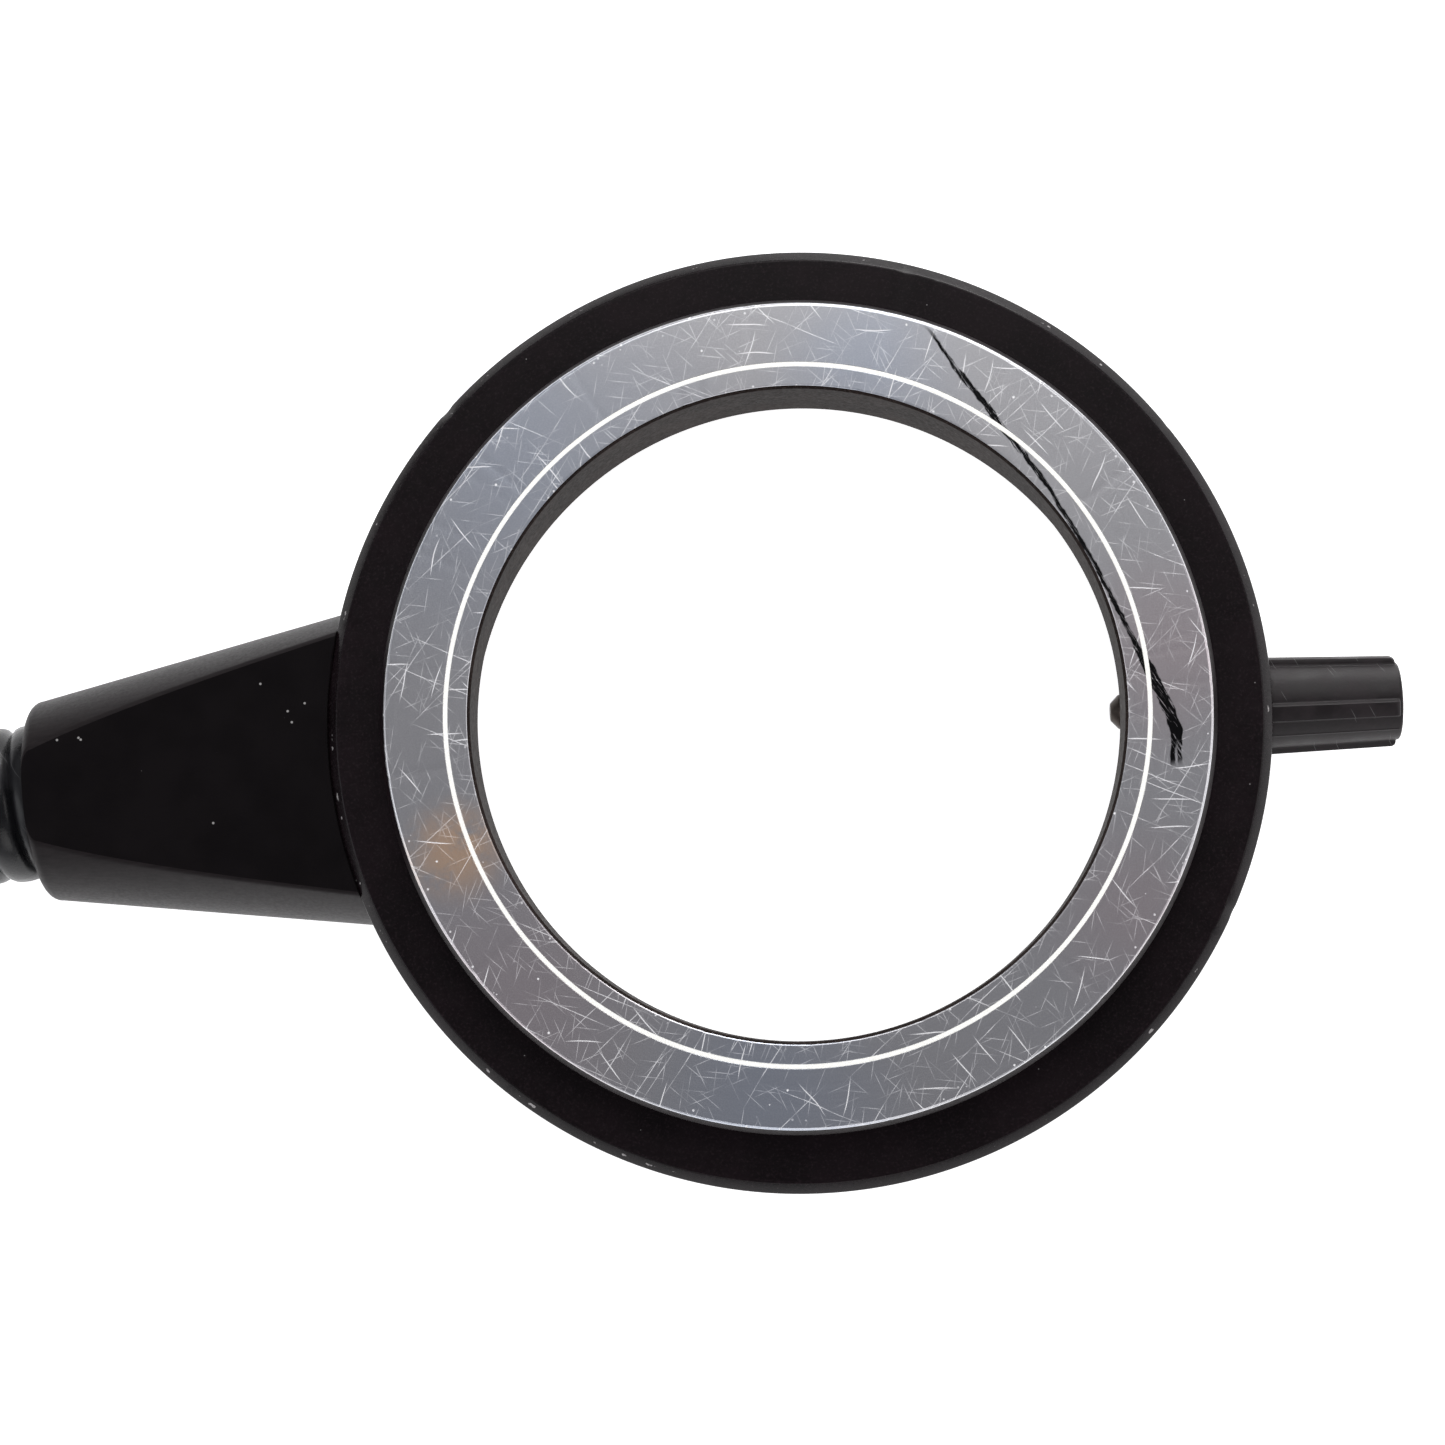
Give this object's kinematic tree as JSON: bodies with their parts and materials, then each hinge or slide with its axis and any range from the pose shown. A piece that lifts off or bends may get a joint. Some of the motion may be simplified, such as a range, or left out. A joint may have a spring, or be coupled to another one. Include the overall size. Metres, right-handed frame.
{
  "type": "fibre-optic ring light",
  "caption": "Annular fibre-optic light guide for a stereo microscope: flat ring with a glowing slit, side arm, armoured conduit, clamp screw and light-source ferrule.",
  "frame": {"origin": "on the viewing axis, in the plane of the ring's rear face, on which it lies", "axes": "+Z along the viewing axis out of the light-emitting face; -X along the side arm; +X roughly towards the clamp screw"},
  "size_m": [0.3184, 0.2207, 0.033],
  "materials": {
    "anodised_black": "satin black anodised, with bare lapped aluminium on the front face",
    "anodised_bore": "satin brown-black anodised bore, with bare lapped aluminium on the front face",
    "anodised_cover": "satin black anodised",
    "zinc_screws": "zinc plated",
    "fibre_ends": "polished fibre ends",
    "glass_fibres": "loose glass fibres",
    "resin": "cast epoxy resin",
    "anodised_arm": "satin black anodised",
    "brass": "turned",
    "black_steel": "black oxide",
    "shrink_sleeve": "shrunk tubing",
    "screw_steel": "plain steel thread",
    "knob_plastic": "moulded, satin",
    "tip_bronze": "darkened bronze",
    "conduit_vinyl": "glossy vinyl over corrugated steel",
    "strap_fabric": "woven hook-and-loop",
    "boot_rubber": "moulded",
    "handle_aluminium": "black anodised",
    "ferrule_steel": "ground and polished"
  },
  "bodies": {
    "ring_light": {"ring_housing": "anodised_black", "inner_sleeve": "anodised_bore", "rear_cover": "anodised_cover", "rear_cover_screws": "zinc_screws", "fibre_slit": "fibre_ends", "fibre_fan": "glass_fibres", "potting_resin": "resin", "side_arm": "anodised_arm", "arm_ferrule": "brass", "arm_grub_screws": "black_steel", "fibre_bundle": "glass_fibres", "bundle_sleeve": "shrink_sleeve", "clamp_bush": "brass", "conduit_lead": "conduit_vinyl", "conduit_coil": "conduit_vinyl", "conduit_tail": "conduit_vinyl", "coil_strap": "strap_fabric", "source_boot": "boot_rubber", "source_handle": "handle_aluminium", "source_ferrule": "ferrule_steel", "source_grub_screw": "black_steel", "source_fibres": "fibre_ends"},
    "screw_tip": {"clamp_tip": "tip_bronze"},
    "screw": {"clamp_screw": "screw_steel", "clamp_knob": "knob_plastic"}
  },
  "joints": [
    {"name": "tip_travel", "type": "slide", "parent": "ring_light", "child": "screw_tip", "axis": [0.9981, -0.061, 0], "range_m": [0, 0.0042]},
    {"name": "screw_turning", "type": "hinge", "parent": "screw_tip", "child": "screw", "pos_m": [0, 0, 0.0094], "axis": [0.9981, -0.061, 0], "range_deg": [0, 2160]}
  ],
  "couplings": [
    {"joint": "screw_turning", "follows": "tip_travel", "rad_per_m": 8976}
  ]
}
